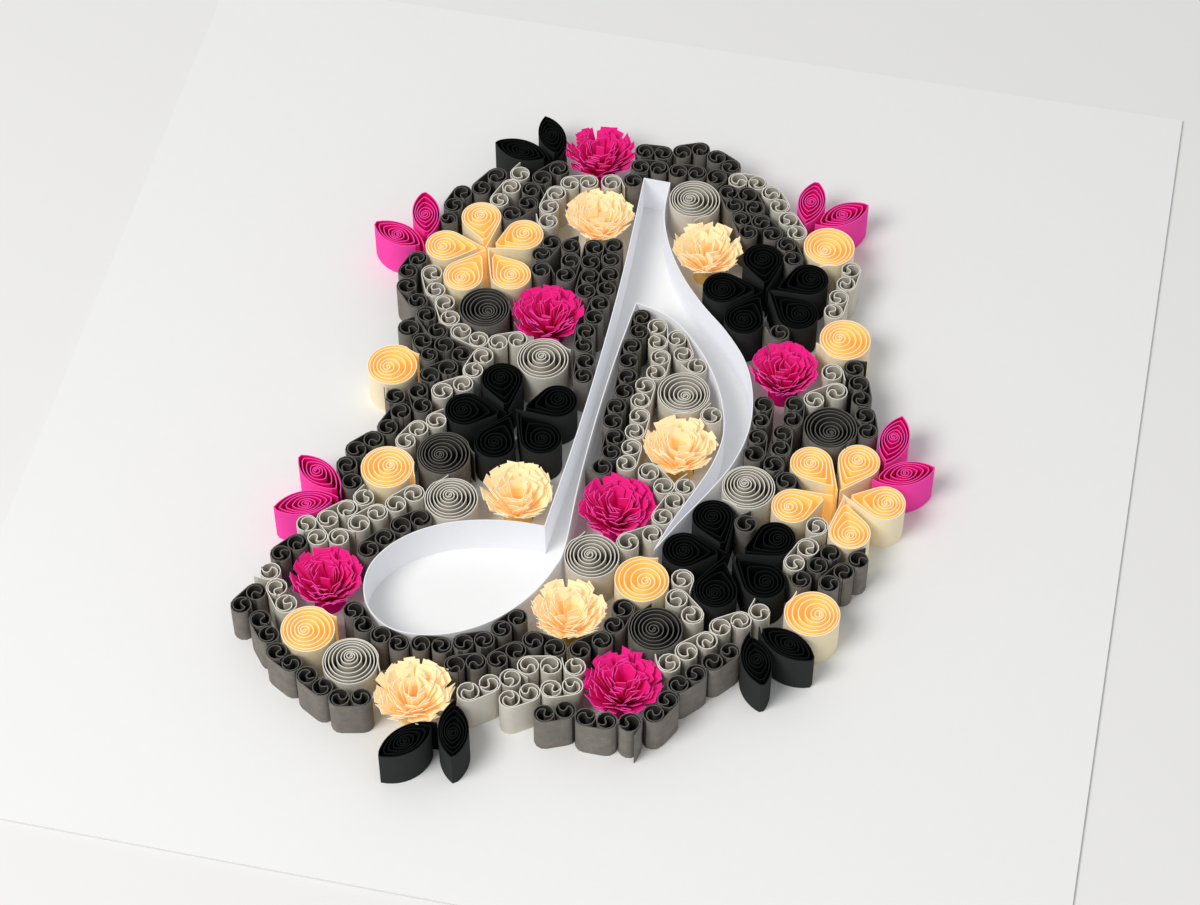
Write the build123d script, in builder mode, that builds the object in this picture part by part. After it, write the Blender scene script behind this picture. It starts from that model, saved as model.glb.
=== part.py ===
from build123d import *
import math
import os

import numpy as np

# Quilled paper picture: rolled paper strips stand on edge on a card and surround an eighth note.
# The card lies flat, its middle on the origin, its long side along Y. All sizes in millimetres.

# Sheet and paper
card_width = 240.0
card_length = 248.0
card_thickness = 0.4
strip_width = 10.0
paper_thickness = 0.25
room = 0.12

# How a roll draws in towards its eye: 1 is even, more keeps the outer turns wide
draw_in = 2.0

# Small scrolls: a roll at each end of a short strip, or one roll with a loose tail
scroll_radius = 2.2
scroll_tail = 1.2
notch_depth = 0.8

# Round coils
coil_radius = 6.1
coil_core = 1.3
coil_turns = 2.0
coil_facets = 8
coil_tail = 1.5

# Teardrop petals
petal_length = 14.2
petal_radius = 4.8
petal_core = 1.8
petal_turns = 1.57
petal_round_facets = 5

# Marquise leaves
leaf_length = 15.0
leaf_width = 6.8
leaf_core = 1.2
leaf_turns = 1.5
leaf_side_facets = 3

# Fringed flowers: a tight foot, the fringe widest at its shoulder and drawn in at its rim
flower_radius = 8.1
flower_height = 13.0
flower_foot_radius = 3.8
flower_shoulder_height = 9.0
flower_rim_radius = 5.4
fringe_depth = 1.1
fringe_lobes = 8

# Note outline: guide points of the smooth runs between its folds, and the facets of each run
note_runs = [
    [(-2.0, 68.8), (-0.6, 12.0), (-2.4, -35.4)],
    [(-2.4, -35.4), (-17.0, -36.9), (-31.7, -45.0), (-36.7, -56.0), (-30.7, -67.0), (-17.0, -67.3),
     (-2.3, -55.3), (3.0, -40.0)],
    [(3.0, -40.0), (2.5, 8.0), (4.0, 30.8)],
    [(4.0, 30.8), (12.0, 28.2), (20.0, 21.0), (27.0, 9.7), (30.5, -4.3), (28.0, -17.0), (21.8, -36.8)],
    [(21.8, -36.8), (28.4, -22.7), (34.9, -6.4), (34.9, 8.5), (29.7, 21.4), (18.0, 34.1), (7.6, 50.0),
     (4.2, 68.6)],
    [(4.2, 68.6), (-2.0, 68.8)],
]
note_facets = [4, 18, 4, 9, 12, 1]

# Places of the fringed flowers
fringed_flowers = {
    "magenta": [(-13.8, 75.0), (-15.5, 23.2), (40.1, 18.8), (11.8, -25.8), (-44.8, -58.2), (22.1, -71.0)],
    "peach": [(-10.0, 55.0), (15.9, 49.8), (22.3, -6.6), (-10.1, -27.4), (7.4, -55.4), (-20.1, -82.0)],
}

# Petal flowers: the point where the tips meet and the way each petal points, in degrees
petal_flowers = {
    "peach": [((-32.7, 39.7), (111, 39, -42, -110, -173)), ((57.8, -13.6), (138, 73, -2, -72, -150))],
    "black": [((32.2, 40.6), (106, 32, -35, -106, -170)), ((-16.0, -5.5), (112, 27, -41, -102, -174)),
              ((37.6, -34.1), (118, 38, -34, -92, -173))],
}

# Round coils: the middle and the way to the loose outer end, in degrees
round_coils = {
    "grey": [((10.3, 64.8), 270), ((-11.3, 10.0), 24), ((20.8, 9.4), 250), ((-22.7, -32.0), 100),
             ((38.7, -15.2), 212), ((9.2, -40.6), 105), ((-34.3, -77.8), -17)],
    "charcoal": [((-29.0, 22.8), -10), ((52.6, 3.4), -60), ((-28.2, -20.7), 0), ((26.4, -56.6), 100)],
    "peach": [((-45.0, 1.5), 30), ((43.5, 56.5), 250), ((52.1, 29.8), 190), ((-39.5, -27.5), -20),
              ((-44.2, -71.3), 30), ((20.6, -44.2), 60), ((56.2, -44.9), 120)],
}

# Leaf pairs: each leaf's inner tip and the way it points, in degrees
leaf_pairs = {
    "magenta": [(((-46.6, 37.0), 159), ((-46.8, 40.0), 107)), (((37.9, 61.4), 88), ((38.9, 61.8), 38)),
                (((-47.0, -36.4), 145), ((-47.2, -36.9), 204)), (((65.6, -4.3), 83), ((63.3, -8.7), 25))],
    "black": [(((-24.6, 70.0), 168), ((-22.4, 70.6), 116)),
              (((-12.6, -88.8), 226), ((-10.6, -82.3), 281)),
              (((46.8, -50.6), -25), ((45.9, -52.4), -68))],
}

# Rows of small scrolls: guide points, and the side of the row on which the strips' backs lie.
LEFT = 1
RIGHT = -1
scroll_rows = {
    "charcoal_scrolls_top": [
        ([(-3.7, 77.5), (0.5, 77.8)], LEFT), ([(5.2, 78.5), (9.2, 80.2)], LEFT),
        ([(13.3, 78.2), (17.2, 76.0)], LEFT), ([(-3.5, 72.0), (9.7, 73.3)], LEFT),
        ([(17.5, 68.2), (23.9, 56.8)], RIGHT),
        ([(22.2, 68.7), (26.9, 61.4), (33.8, 55.0), (36.0, 51.0)], LEFT)],
    "charcoal_scrolls_upper_left": [
        ([(-36.5, 62.0), (-39.2, 57.3)], RIGHT), ([(-42.2, 53.6), (-43.3, 49.5)], RIGHT),
        ([(-22.3, 67.7), (-25.5, 64.0)], RIGHT), ([(-27.2, 54.7), (-30.3, 50.7)], LEFT)],
    "charcoal_scrolls_stem": [
        ([(-19.3, 45.0), (-20.8, 41.0)], LEFT), ([(-14.7, 41.7), (-14.8, 37.2)], LEFT),
        ([(-9.5, 46.7), (-9.3, 33.0)], RIGHT),
        ([(-4.7, 45.8), (-4.0, 32.5), (-5.0, 22.0), (-3.4, 7.2)], RIGHT)],
    "charcoal_scrolls_left": [
        ([(-47.8, 33.2), (-49.0, 29.2)], RIGHT), ([(-48.0, 24.7), (-44.5, 20.8)], RIGHT),
        ([(-40.8, 17.7), (-37.2, 13.5)], RIGHT), ([(-40.8, 9.7), (-38.5, 6.3)], RIGHT),
        ([(-35.3, 9.5), (-30.8, 7.7)], LEFT), ([(-33.5, 3.3), (-37.0, 0.4)], RIGHT),
        ([(-38.2, -4.5), (-36.3, -8.5)], RIGHT), ([(-40.7, -11.2), (-42.3, -16.2)], RIGHT),
        ([(-44.3, -19.8), (-47.3, -23.3)], RIGHT), ([(-48.5, -28.0), (-46.3, -32.3)], RIGHT)],
    "charcoal_scrolls_head": [
        ([(-28.6, -38.4), (-32.3, -41.2), (-37.7, -48.8)], RIGHT),
        ([(-53.3, -50.8), (-55.7, -54.0)], RIGHT),
        ([(-36.8, -65.2), (-33.6, -68.5), (-25.2, -71.0), (-16.8, -70.2), (-8.2, -66.8),
          (-3.0, -59.8)], LEFT),
        ([(-12.3, -74.0), (-4.5, -71.0), (-1.6, -68.2)], LEFT), ([(1.7, -64.3), (6.6, -65.2)], LEFT),
        ([(11.5, -64.3), (15.5, -61.0)], LEFT), ([(17.3, -56.7), (18.3, -52.0)], RIGHT)],
    "charcoal_scrolls_bottom": [
        ([(-58.2, -65.0), (-60.2, -68.7)], RIGHT),
        ([(-55.2, -71.5), (-49.5, -78.5), (-42.0, -82.7), (-34.2, -87.2), (-29.8, -86.2)], RIGHT),
        ([(8.2, -82.2), (12.2, -80.5)], RIGHT), ([(16.5, -81.0), (20.8, -81.0)], RIGHT),
        ([(29.3, -77.1), (33.6, -69.2), (42.8, -59.0)], RIGHT)],
    "charcoal_scrolls_flag": [
        ([(5.5, 26.3), (6.2, 4.5), (6.5, -12.7)], RIGHT), ([(37.4, 7.7), (38.0, -6.4)], LEFT),
        ([(42.5, 9.5), (43.4, -3.7)], LEFT)],
    "charcoal_scrolls_right": [
        ([(57.2, 17.9), (61.1, 5.0)], LEFT), ([(58.6, -29.1), (56.5, -32.9)], RIGHT),
        ([(62.0, -34.3), (59.5, -38.0)], RIGHT)],
    "grey_scrolls_upper_left": [
        ([(-32.0, 59.7), (-33.7, 55.0)], RIGHT), ([(-21.0, 60.3), (-21.7, 55.8)], RIGHT),
        ([(-18.3, 64.0), (-14.2, 65.3)], LEFT)],
    "grey_scrolls_upper_right": [
        ([(19.9, 73.0), (24.5, 73.1)], LEFT), ([(27.9, 70.0), (35.9, 59.1)], LEFT),
        ([(49.5, 51.0), (48.3, 37.9)], LEFT), ([(52.0, 14.3), (47.5, 11.0)], RIGHT)],
    "grey_scrolls_flag": [
        ([(10.0, 26.0), (12.1, 17.0), (11.7, 3.3), (11.2, -14.0)], LEFT),
        ([(15.2, 24.2), (17.5, 19.8)], LEFT),
        ([(17.3, -14.7), (21.2, -17.8)], LEFT), ([(23.6, -23.2), (21.9, -28.0)], RIGHT),
        ([(20.3, -32.6), (15.7, -35.8)], RIGHT)],
    "grey_scrolls_left": [
        ([(-43.2, 29.5), (-41.2, 24.7)], RIGHT), ([(-37.5, 22.0), (-35.3, 17.7)], RIGHT),
        ([(-32.2, 14.2), (-27.8, 12.7)], RIGHT), ([(-23.3, 12.3), (-19.8, 13.8)], LEFT),
        ([(-25.5, 8.3), (-26.7, 3.8)], RIGHT), ([(-28.7, -0.3), (-32.7, -3.2)], RIGHT),
        ([(-35.5, -15.2), (-37.3, -19.2)], RIGHT)],
    "grey_scrolls_lower_left": [
        ([(-31.8, -32.5), (-41.2, -43.2)], RIGHT), ([(-45.3, -39.0), (-48.7, -42.5)], RIGHT),
        ([(-52.2, -45.3), (-49.0, -48.3)], LEFT), ([(-54.0, -63.3), (-51.0, -67.0)], RIGHT)],
    "grey_scrolls_bottom": [
        ([(2.5, -71.3), (7.0, -70.3)], LEFT), ([(-8.3, -80.2), (-4.5, -77.3)], RIGHT),
        ([(0.7, -80.0), (4.3, -77.5)], RIGHT), ([(8.2, -76.0), (12.3, -74.3)], RIGHT)],
    "grey_scrolls_lower_right": [
        ([(29.0, -48.0), (33.0, -51.5)], LEFT), ([(43.6, -50.5), (39.7, -53.0)], RIGHT),
        ([(37.2, -57.1), (33.6, -60.6)], RIGHT), ([(52.8, -28.3), (50.7, -32.9)], RIGHT)],
}

# Single rolls among the scrolls: the middle and the way the loose tail points, in degrees
single_rolls = {
    "charcoal_scrolls_top": [((14.7, 72.0), -60), ((-5.2, 67.5), 60)],
    "charcoal_scrolls_upper_left": [((-42.8, 44.9), -80), ((-26.7, 59.7), 0)],
    "charcoal_scrolls_stem": [((-20.1, 36.7), 0), ((-14.8, 46.8), 90)],
    "charcoal_scrolls_left": [((-44.7, 12.7), 100), ((-42.8, -7.0), 165)],
    "charcoal_scrolls_bottom": [((25.7, -80.7), -45)],
    "charcoal_scrolls_flag": [((5.8, -17.2), 210), ((43.0, -7.9), -60), ((46.8, -13.1), 0),
                              ((36.3, 29.5), 180), ((39.3, -23.7), 100)],
    "charcoal_scrolls_right": [((55.3, 22.3), 60), ((64.3, -30.0), 90), ((54.0, -36.8), 180)],
    "grey_scrolls_upper_left": [((-30.8, 64.2), 120), ((-21.3, 51.0), 170), ((-9.7, 65.8), 0)],
    "grey_scrolls_upper_right": [((50.9, 19.8), -10)],
    "grey_scrolls_flag": [((21.0, 17.5), 200), ((27.0, 3.9), 120), ((25.7, -17.0), 110)],
    "grey_scrolls_left": [((-32.3, -12.2), 95)],
    "grey_scrolls_lower_left": [((-44.3, -46.8), 50), ((-42.3, -35.7), 120), ((-56.8, -59.2), 230)],
    "grey_scrolls_bottom": [((11.7, -69.3), 170), ((-0.8, -74.5), 30)],
    "grey_scrolls_lower_right": [((29.2, -42.8), -35), ((46.3, -46.5), 133), ((30.6, -64.4), 172),
                                 ((54.3, -23.7), -90)],
}


def way(degrees):
    """Unit vector that points that way on the card."""
    return np.array([math.cos(math.radians(degrees)), math.sin(math.radians(degrees))])


def turned(points, degrees):
    """Points drawn along +X, turned to point another way."""
    along = way(degrees)
    across = np.array([-along[1], along[0]])
    points = np.asarray(points, dtype=float)
    return points[:, :1] * along + points[:, 1:] * across


def beside(path, distance, closed=False):
    """Points at a distance to the left of a path, mitred where it turns."""
    runs = np.diff(np.vstack([path, path[:1]]) if closed else path, axis=0)
    runs = runs / np.linalg.norm(runs, axis=1)[:, None]
    normals = np.column_stack([-runs[:, 1], runs[:, 0]])
    if closed:
        before, after = np.roll(normals, 1, axis=0), normals
    else:
        before, after = np.vstack([normals[:1], normals]), np.vstack([normals, normals[-1:]])
    mitre = (before + after) / (1 + np.sum(before * after, axis=1))[:, None]
    return path + distance * mitre


def strip_outline(path):
    """Outline of a paper strip seen on edge, wound along a path."""
    return np.vstack([beside(path, paper_thickness / 2), beside(path, -paper_thickness / 2)[::-1]])


def wound(turn, eye, turns, core):
    """Path of a roll: a closed turn, repeated and drawn in towards the eye to a share of its size."""
    steps = round(turns * len(turn))
    scale = 1 - (1 - core) * np.linspace(0, 1, steps + 1)[:, None] ** draw_in
    return eye + scale * (turn[np.arange(steps + 1) % len(turn)] - eye)


def inset(turn):
    """The middle of the paper when a turn is the outside of a roll."""
    return beside(np.asarray(turn, dtype=float), paper_thickness / 2, closed=True)


def coil_outline():
    """Round coil about the origin, with its outer end sprung loose towards +X."""
    turn = [coil_radius * way(360 * i / coil_facets) for i in range(coil_facets)]
    path = wound(inset(turn), np.zeros(2), coil_turns, coil_core / coil_radius)
    start = path[0] + coil_tail * (path[0] - path[1]) / np.linalg.norm(path[0] - path[1])
    return strip_outline(np.vstack([start, path]))


def petal_outline():
    """Teardrop roll from its tip at the origin along +X, its turns gathered in the round end."""
    middle = petal_length - petal_radius
    eye = np.array([middle, 0.0])
    flank = math.degrees(math.acos(-petal_radius / middle))
    round_end = np.linspace(-flank, flank, petal_round_facets + 1)
    turn = [np.zeros(2)] + [eye + petal_radius * way(a) for a in round_end]
    return strip_outline(wound(inset(turn), eye, petal_turns, petal_core / petal_radius))


def leaf_outline():
    """Marquise roll from its inner tip at the origin along +X."""
    share = np.linspace(0, 1, leaf_side_facets + 1)[:-1]
    lower = np.column_stack([share * leaf_length, -leaf_width / 2 * np.sin(math.pi * share)])
    turn = np.vstack([lower, (leaf_length, 0.0) - lower])
    eye = np.array([leaf_length / 2, 0.0])
    return strip_outline(wound(inset(turn), eye, leaf_turns, 2 * leaf_core / leaf_width))


def scroll_outline(half_gap):
    """Scroll along X: a roll at each end, its straight back towards +Y and a notch between the rolls."""
    first = np.array([scroll_radius * way(a) for a in (90, 150, 210, 270)]) - (half_gap, 0.0)
    second = first[::-1] * (-1, 1)
    return np.vstack([first, [(0.0, -(scroll_radius - notch_depth))], second])


def single_outline():
    """One roll about the origin whose loose tail points along +X."""
    rim = [scroll_radius * way(a) for a in (30, 90, 150, 210, 270, 330)]
    return np.vstack([rim, [(scroll_radius + scroll_tail, -scroll_radius / 2)]])


def note_path():
    """Middle of the note's strip: smooth curves through the guide points of each run, cut into facets."""
    path = []
    for guides, facets in zip(note_runs, note_facets):
        run = Spline(*guides) if len(guides) > 2 else Line(*guides)
        path += [tuple(run @ (i / facets))[:2] for i in range(facets)]
    return np.array(path)


def row_places(guides):
    """Evenly spaced middles of as many rolls as fit along a row."""
    guides = np.array(guides)
    reach = np.concatenate([[0.0], np.cumsum(np.linalg.norm(np.diff(guides, axis=0), axis=1))])
    count = int(reach[-1] / (2 * scroll_radius + room) + 0.5) + 1
    stops = np.linspace(0, reach[-1], count)
    return np.column_stack([np.interp(stops, reach, guides[:, 0]), np.interp(stops, reach, guides[:, 1])])


# Every movable piece: its node, its place, the discs that keep its neighbours off, its outline
pieces = []


def add_piece(node, place, degrees, discs, outline):
    discs = np.array(discs)
    around = np.column_stack([turned(discs[:, :2], degrees), discs[:, 2]])
    shape = None if outline is None else turned(outline, degrees)
    place = np.array(place, dtype=float)
    pieces.append({"node": node, "place": place, "discs": around, "outline": shape})


for colour, places in fringed_flowers.items():
    for number, place in enumerate(places, 1):
        add_piece(f"{colour}_fringed_flower_{number}", place, 0, [(0.0, 0.0, flower_radius)], None)

petal_middle = petal_length - petal_radius
petal_discs = [(petal_middle * s, 0.0, petal_radius * s)
               for s in (1.0, 0.72, 0.5, 0.35, 0.24, 0.16, 0.1, 0.05)]
for colour, flowers in petal_flowers.items():
    for number, (centre, directions) in enumerate(flowers, 1):
        for degrees in directions:
            add_piece(f"{colour}_petal_flower_{number}", centre, degrees, petal_discs, petal_outline())

tail_x, tail_y = way(0) * coil_radius + way(180 / coil_facets - 90) * coil_tail
coil_discs = [(0.0, 0.0, coil_radius), (tail_x, tail_y, paper_thickness)]
for colour, coils in round_coils.items():
    for number, (place, degrees) in enumerate(coils, 1):
        add_piece(f"{colour}_coil_{number}", place, degrees, coil_discs, coil_outline())

leaf_discs = [(leaf_length * s, 0.0, leaf_width / 2 * math.sin(math.pi * s) * 0.95)
              for s in (0.04, 0.1, 0.2, 0.32, 0.5, 0.68, 0.8, 0.9, 0.96)]
for colour, pairs in leaf_pairs.items():
    for number, leaves in enumerate(pairs, 1):
        for tip, degrees in leaves:
            add_piece(f"{colour}_leaf_pair_{number}", tip, degrees, leaf_discs, leaf_outline())

single_discs = [(0.0, 0.0, scroll_radius),
                (scroll_radius + scroll_tail / 2, -scroll_radius / 4, scroll_tail / 2),
                (scroll_radius + scroll_tail, -scroll_radius / 2, paper_thickness)]
for node, rows in scroll_rows.items():
    for guides, side in rows:
        rolls = row_places(guides)
        for first, second in zip(rolls[0::2], rolls[1::2]):
            half_gap = max(np.linalg.norm(second - first) / 2, scroll_radius)
            along = math.degrees(math.atan2(*(second - first)[::-1])) + (0 if side == LEFT else 180)
            back_disc = (0.0, scroll_radius / 2, scroll_radius / 2)
            ends = [(-half_gap, 0.0, scroll_radius), (half_gap, 0.0, scroll_radius), back_disc]
            add_piece(node, (first + second) / 2, along, ends, scroll_outline(half_gap))
        if len(rolls) % 2:
            add_piece(node, rolls[-1], 0, single_discs, single_outline())
    for place, degrees in single_rolls.get(node, []):
        add_piece(node, place, degrees, single_discs, single_outline())


def settle(wall, steps=600, ease=0.35):
    """Neighbours that would overlap push each other aside bit by bit; the note's wall stays put."""
    owner = np.concatenate([np.full(len(p["discs"]), i) for i, p in enumerate(pieces)])
    discs = np.vstack([p["discs"] for p in pieces])
    places = np.array([p["place"] for p in pieces])
    weight = np.array([np.sum(p["discs"][:, 2] ** 2) for p in pieces])[owner]
    middles = places[owner] + discs[:, :2]
    apart = np.linalg.norm(middles[:, None] - middles[None, :], axis=2) - discs[:, 2] - discs[:, None, 2]
    first, second = np.nonzero(np.triu((apart < flower_radius) & (owner[:, None] != owner[None, :])))
    reach = discs[first, 2] + discs[second, 2] + room
    share = (weight[second] / (weight[first] + weight[second]))[:, None]
    off = discs[:, 2] + paper_thickness / 2 + room
    run = np.roll(wall, -1, axis=0) - wall
    each = np.arange(len(discs))
    for step in range(steps):
        middles = places[owner] + discs[:, :2]
        between = middles[first] - middles[second]
        distance = np.linalg.norm(between, axis=1)
        overlap = np.maximum(reach - distance, 0)
        push = between * (overlap / distance)[:, None]
        along = np.sum((middles[:, None] - wall) * run, axis=2) / np.sum(run**2, axis=1)
        from_wall = middles[:, None] - (wall + np.clip(along, 0, 1)[:, :, None] * run)
        gaps = np.linalg.norm(from_wall, axis=2)
        nearest = np.argmin(gaps, axis=1)
        gap = gaps[each, nearest]
        bite = np.maximum(off - gap, 0)
        move = np.zeros_like(places)
        np.add.at(move, owner[first], push * share)
        np.add.at(move, owner[second], push * (share - 1))
        np.add.at(move, owner, from_wall[each, nearest] * (bite / gap)[:, None])
        places += ease * move
    for piece, place in zip(pieces, places):
        piece["place"] = place
    print("largest overlap left", round(float(max(overlap.max(), bite.max())), 3))


os.makedirs("parts", exist_ok=True)
note = note_path()
settle(note)

# Backing card
with BuildPart() as card:
    Box(card_width, card_length, card_thickness, align=(Align.CENTER, Align.CENTER, Align.MIN))
card.part.label = "backing_card"
export_step(card.part, "parts/backing_card.step")

# Note outline: one closed strip on edge
with BuildPart() as note_strip:
    with BuildSketch(Plane.XY.offset(card_thickness)):
        with BuildLine():
            Polyline(*map(tuple, beside(note, -paper_thickness / 2, closed=True)), close=True)
        make_face()
        with BuildLine():
            Polyline(*map(tuple, beside(note, paper_thickness / 2, closed=True)), close=True)
        make_face(mode=Mode.SUBTRACT)
    extrude(amount=strip_width)
note_strip.part.label = "note_outline"
export_step(note_strip.part, "parts/note_outline.step")


def stand_strips(node, outlines):
    """A node of rolled strips, each a solid of its own that stands on the card."""
    with BuildPart() as rolls:
        with BuildSketch(Plane.XY.offset(card_thickness)):
            for outline in outlines:
                with BuildLine():
                    Polyline(*map(tuple, outline), close=True)
                make_face()
        extrude(amount=strip_width)
    rolls.part.label = node
    export_step(rolls.part, f"parts/{node}.step")


def stand_flower(node, place):
    """A fringed flower: lobed sections lofted from the foot out to the shoulder and in to the rim."""
    levels = [(0.0, flower_foot_radius), (flower_shoulder_height, flower_radius),
              (flower_height, flower_rim_radius)]
    with BuildPart() as flower:
        for height, radius in levels:
            lobe = [radius, radius * (1 - fringe_depth / flower_radius)] * fringe_lobes
            rim = [tuple(place + r * way(180 * i / fringe_lobes)) for i, r in enumerate(lobe)]
            with BuildSketch(Plane.XY.offset(card_thickness + height)):
                with BuildLine():
                    Polyline(*rim, close=True)
                make_face()
        loft(ruled=True)
    flower.part.label = node
    export_step(flower.part, f"parts/{node}.step")


# Rolled pieces, node by node
for node in dict.fromkeys(piece["node"] for piece in pieces):
    members = [piece for piece in pieces if piece["node"] == node]
    if members[0]["outline"] is None:
        stand_flower(node, members[0]["place"])
    else:
        stand_strips(node, [piece["place"] + piece["outline"] for piece in members])
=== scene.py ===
# %% [markdown]
# # A quilled paper picture
# Quilling is drawing with paper: narrow strips are rolled, pinched, and glued on edge to a card.
# This lesson dresses a plain solid model of such a picture, an eighth note among flowers.
# The solids say where every roll stands. Each one is replaced by a real wound strip, and the
# strips are worked out with numpy as whole arrays.

# %% Load the frame
import math

import bpy
import numpy as np
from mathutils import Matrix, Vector


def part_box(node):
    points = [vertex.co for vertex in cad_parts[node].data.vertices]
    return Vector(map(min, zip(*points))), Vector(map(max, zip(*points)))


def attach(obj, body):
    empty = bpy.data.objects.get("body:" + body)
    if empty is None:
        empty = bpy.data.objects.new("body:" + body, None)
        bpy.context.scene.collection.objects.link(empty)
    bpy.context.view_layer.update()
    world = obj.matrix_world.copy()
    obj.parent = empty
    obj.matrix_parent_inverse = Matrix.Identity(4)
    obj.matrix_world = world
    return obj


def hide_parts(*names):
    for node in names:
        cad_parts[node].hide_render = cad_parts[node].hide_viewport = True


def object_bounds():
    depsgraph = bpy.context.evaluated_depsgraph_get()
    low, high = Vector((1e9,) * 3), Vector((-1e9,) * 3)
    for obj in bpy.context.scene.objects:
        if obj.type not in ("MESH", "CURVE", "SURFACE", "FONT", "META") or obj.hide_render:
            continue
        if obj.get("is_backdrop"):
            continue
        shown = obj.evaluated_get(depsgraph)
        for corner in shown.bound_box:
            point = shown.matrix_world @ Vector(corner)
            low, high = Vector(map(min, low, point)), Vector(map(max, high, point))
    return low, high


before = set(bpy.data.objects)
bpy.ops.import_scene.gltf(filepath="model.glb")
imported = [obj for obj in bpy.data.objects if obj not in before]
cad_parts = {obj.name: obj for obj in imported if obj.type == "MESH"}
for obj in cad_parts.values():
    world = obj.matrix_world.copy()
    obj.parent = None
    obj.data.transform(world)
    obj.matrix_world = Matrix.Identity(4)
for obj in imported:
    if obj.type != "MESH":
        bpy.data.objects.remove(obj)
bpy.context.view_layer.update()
# Strips are worked out in millimetres and become metres, Blender's unit, in their meshes
MM = 0.001
CARD_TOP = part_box("backing_card")[1].z / MM
STRIP_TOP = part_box("note_outline")[1].z / MM
PAPER = 0.20
SEED = 7
rng = np.random.default_rng(SEED)
print(len(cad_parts), "solid nodes")
print("strips stand from", round(CARD_TOP, 2), "to", round(STRIP_TOP, 2), "mm")

# %% [markdown]
# ## Reading where the rolls stand
# Every roll is an upright solid, so its top face holds all that we need: its outline.
# The edges of the top triangles that are used only once form closed loops. Each edge names the
# next point, and pointer doubling ranks all points of all loops together, without walking along
# them. A list of places typed in by hand would do as well, but it would be wrong as soon as a solid
# is moved. Points of the plane are kept as complex numbers: to turn one is to multiply it.

# %% Outlines of the top faces
TOP_SLACK = 0.01


def top_triangles(node):
    """Triangles of a node's top faces, as (triangles, 3 corners, 3), in millimetres."""
    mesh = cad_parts[node].data
    mesh.calc_loop_triangles()
    corner = np.empty(len(mesh.loop_triangles) * 3, np.int32)
    mesh.loop_triangles.foreach_get("vertices", corner)
    place = np.empty(len(mesh.vertices) * 3, np.float32)
    mesh.vertices.foreach_get("co", place)
    triangles = place.reshape(-1, 3)[corner].reshape(-1, 3, 3).astype(float) / MM
    height = triangles[:, :, 2]
    return triangles[np.all(height > height.max() - TOP_SLACK, axis=1)]


def top_loops(node):
    """Closed outlines of a node's top faces, each an array of complex points in millimetres.

    An edge lies on a rim when no other triangle runs along it the other way. Doubling the jumps
    `after`, `after of after` and so on gives each point the smallest number on its loop, as the
    loop's name, and its count of steps to the loop's end, as its rank.
    """
    top = top_triangles(node)
    points, number = np.unique(top[:, :, 0] + 1j * top[:, :, 1], return_inverse=True)
    number = number.reshape(-1, 3)
    edges = np.concatenate([number[:, [0, 1]], number[:, [1, 2]], number[:, [2, 0]]])
    forth = edges[:, 0] * len(points) + edges[:, 1]
    rim = edges[~np.isin(forth, edges[:, 1] * len(points) + edges[:, 0])]
    after = np.arange(len(points))
    after[rim[:, 0]] = rim[:, 1]
    doublings = math.ceil(math.log2(len(points))) + 1
    name, jump = np.arange(len(points)), after
    for _ in range(doublings):
        name, jump = np.minimum(name, name[jump]), jump[jump]
    last = after == name
    steps, jump = np.where(last, 0, 1), np.where(last, np.arange(len(points)), after)
    for _ in range(doublings):
        steps, jump = steps + steps[jump], jump[jump]
    order = np.lexsort((-steps, name))
    return np.split(points[order], np.cumsum(np.unique(name, return_counts=True)[1])[:-1])


def middle_line(loop):
    """Middle line of a wound strip, outer end first, from its outline.

    The two shortest edges of the outline are the strip's ends, and the middle is half way between
    the two long sides that run between them.
    """
    edge = np.abs(np.roll(loop, -1) - loop)
    loop = np.roll(loop, -1 - np.argsort(edge)[:2].min())
    half = len(loop) // 2
    line = (loop[:half] + loop[half:][::-1]) / 2
    outer_first = abs(line[0] - line.mean()) > abs(line[-1] - line.mean())
    return line if outer_first else line[::-1]


loops = {node: top_loops(node) for node in sorted(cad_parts) if "fringed" not in node}
print(sum(map(len, loops.values())), "outlines read")

# %% [markdown]
# ## A strip of paper on edge
# All rolls are the same thing: a thin rectangle carried along a middle line. Four corners at each
# point of the line make a grid of quads with a cap at each end. A curve object with a flat profile
# could do that too, but here every face also carries values that its paper reads.
# A value called `cut` marks the narrow edges where the knife went, because cut paper has a look of
# its own.
# A second value marks the painted shade of the faces inside a roll. Light that gets in between the
# turns bounces from paper to paper, so there pale paper is painted a stronger colour and dark paper
# drowns in painted shade. A third one, `through`, is the strength of a painted glow that stands for
# light coming through the paper from behind.

# %% Strip corners and faces
LEFT_SIDE, RIGHT_SIDE = 0, 2
OUTWARD = {LEFT_SIDE: RIGHT_SIDE, RIGHT_SIDE: LEFT_SIDE}
MITRE_LIMIT = 0.35


def strip_corners(lines, low=CARD_TOP, high=STRIP_TOP):
    """Corners of strips that stand along middle lines, as (strips, points, 4 corners, 3).

    Each point goes half a thickness to the left and right along the mitre of the runs before and
    after it, once at the strip's lower edge and once at its upper edge. The mitre is the sum of
    both runs over one plus the cosine of the turn, which a limit keeps short at sharp folds.
    """
    runs = np.diff(lines, axis=1)
    runs = runs / np.abs(runs)
    before = np.concatenate([runs[:, :1], runs], axis=1)
    after = np.concatenate([runs, runs[:, -1:]], axis=1)
    mitre = (before + after) / np.maximum(1 + (before * after.conj()).real, MITRE_LIMIT)
    left, right = lines + 0.5j * PAPER * mitre, lines - 0.5j * PAPER * mitre
    flat = np.stack([left, left, right, right], axis=2)
    height = np.stack(np.broadcast_arrays(low, high, high, low), axis=-1)
    return np.stack([flat.real, flat.imag, np.broadcast_to(height, flat.shape)], axis=-1)


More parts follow.
